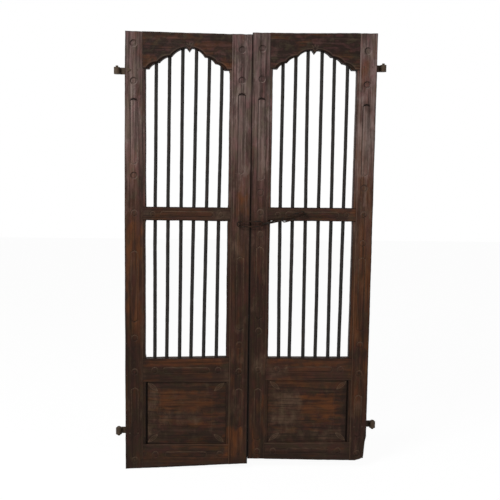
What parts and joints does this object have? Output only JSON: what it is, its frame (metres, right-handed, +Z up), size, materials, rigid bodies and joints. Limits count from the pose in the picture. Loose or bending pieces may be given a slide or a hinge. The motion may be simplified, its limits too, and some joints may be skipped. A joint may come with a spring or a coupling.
{
  "type": "carved temple door",
  "caption": "Pair of old carved hardwood door leaves with a cusped arch over iron rods, raised panels, strap hinge eyes and a chain latch.",
  "frame": {"origin": "on the ground, halfway between the two hinge axes and halfway between the foremost and the rearmost point", "axes": "+X points to the right seen from the front, +Y from the front to the back, +Z up"},
  "size_m": [1.1526, 0.0705, 1.8925],
  "materials": {
    "weathered_hardwood": "old dark oil and wax, worn and dusty",
    "forged_iron": "dark forged iron with brown rust"
  },
  "bodies": {
    "hinge_pins": {"left_lower_hinge_pin": "forged_iron", "left_upper_hinge_pin": "forged_iron", "right_lower_hinge_pin": "forged_iron", "right_upper_hinge_pin": "forged_iron"},
    "left_leaf": {"left_arch_rail": "weathered_hardwood", "left_bottom_rail": "weathered_hardwood", "left_hinge_nails": "forged_iron", "left_lock_rail": "weathered_hardwood", "left_lower_hinge_strap": "forged_iron", "left_meeting_stile": "weathered_hardwood", "left_mid_rail": "weathered_hardwood", "left_outer_stile": "weathered_hardwood", "left_panel": "weathered_hardwood", "left_rod_1": "forged_iron", "left_rod_2": "forged_iron", "left_rod_3": "forged_iron", "left_rod_4": "forged_iron", "left_rod_5": "forged_iron", "left_rod_6": "forged_iron", "left_tenon_pegs": "weathered_hardwood", "left_upper_hinge_strap": "forged_iron", "hook_staple": "forged_iron"},
    "right_leaf": {"right_arch_rail": "weathered_hardwood", "right_bottom_rail": "weathered_hardwood", "right_hinge_nails": "forged_iron", "right_lock_rail": "weathered_hardwood", "right_lower_hinge_strap": "forged_iron", "right_meeting_stile": "weathered_hardwood", "right_mid_rail": "weathered_hardwood", "right_outer_stile": "weathered_hardwood", "right_panel": "weathered_hardwood", "right_rod_1": "forged_iron", "right_rod_2": "forged_iron", "right_rod_3": "forged_iron", "right_rod_4": "forged_iron", "right_rod_5": "forged_iron", "right_rod_6": "forged_iron", "right_tenon_pegs": "weathered_hardwood", "right_upper_hinge_strap": "forged_iron", "anchor_staple": "forged_iron"},
    "anchor_link": {"anchor_link": "forged_iron"},
    "middle_link": {"middle_link": "forged_iron"},
    "hook_link": {"hook_link": "forged_iron"}
  },
  "joints": [
    {"name": "left_leaf_swing", "type": "hinge", "parent": "hinge_pins", "child": "left_leaf", "pos_m": [-0.5633, 0.01875, 0.1635], "axis": [0, 0, 1], "range_deg": [0, 100]},
    {"name": "right_leaf_swing", "type": "hinge", "parent": "hinge_pins", "child": "right_leaf", "pos_m": [0.5633, 0.01875, 0.1895], "axis": [0, 0, 1], "range_deg": [0, 100]},
    {"name": "anchor_link_lift", "type": "hinge", "parent": "right_leaf", "child": "anchor_link", "pos_m": [0.2348, -0.02525, 1.132], "axis": [-0.2924, 0, 0.9563], "range_deg": [0, 90]},
    {"name": "middle_link_turn", "type": "hinge", "parent": "anchor_link", "child": "middle_link", "pos_m": [0.13821, -0.02525, 1.10247], "axis": [-0.2924, 0, 0.9563], "range_deg": [0, 60]},
    {"name": "hook_link_lift", "type": "hinge", "parent": "middle_link", "child": "hook_link", "pos_m": [0.0559, -0.02525, 1.08572], "axis": [-0.0175, 0, 0.9998], "range_deg": [0, 60]}
  ]
}
